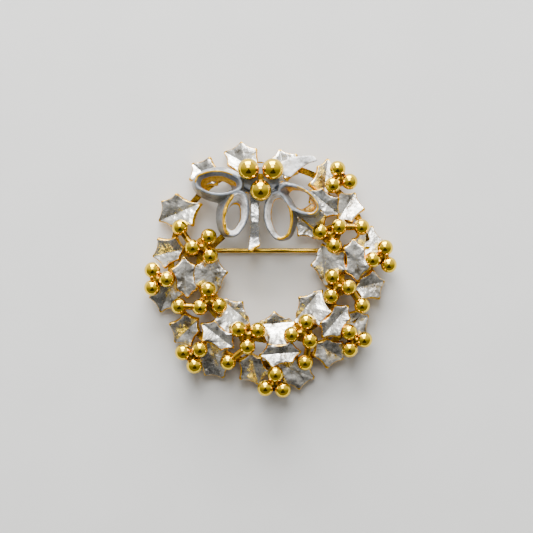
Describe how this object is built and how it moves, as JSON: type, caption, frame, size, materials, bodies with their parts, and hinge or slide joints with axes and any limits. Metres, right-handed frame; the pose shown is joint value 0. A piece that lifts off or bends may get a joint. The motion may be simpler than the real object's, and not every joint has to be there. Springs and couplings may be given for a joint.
{
  "type": "wreath brooch",
  "caption": "Round cast brooch in two tones: a ring of folded holly leaves with clusters of round berries, a looped ribbon bow at the top, and a hinged pin stem across the back.",
  "frame": {"origin": "middle of the brooch's outline, on the surface that its pin fittings rest on", "axes": "+Z out of the front, towards the viewer; +Y from the middle towards the bow; +X along the pin stem, from hinge to catch"},
  "size_m": [0.0486, 0.0493, 0.0111],
  "materials": {
    "silver": "antiqued silver-tone plating on cast metal, satin, with bright edges",
    "gold": "polished gold-tone plating on cast metal",
    "pin_wire": "drawn wire with gold-tone plating"
  },
  "bodies": {
    "wreath": {"holly_wreath": "silver", "ribbon_bow": "silver", "bow_berries": "gold", "inner_berries_1": "gold", "inner_berries_2": "gold", "inner_berries_3": "gold", "inner_berries_4": "gold", "inner_berries_5": "gold", "inner_berries_6": "gold", "rim_berries_1": "gold", "rim_berries_2": "gold", "rim_berries_3": "gold", "rim_berries_4": "gold", "rim_berries_5": "gold", "rim_berries_6": "gold", "pin_hinge": "gold", "hinge_rivet": "gold", "pin_catch": "gold"},
    "pin": {"pin_stem": "pin_wire"}
  },
  "joints": [
    {"name": "pin_swing", "type": "hinge", "parent": "wreath", "child": "pin", "pos_m": [-0.0152, 0.0035, 0.0011], "axis": [0, 1, 0], "range_deg": [0, 80]}
  ]
}
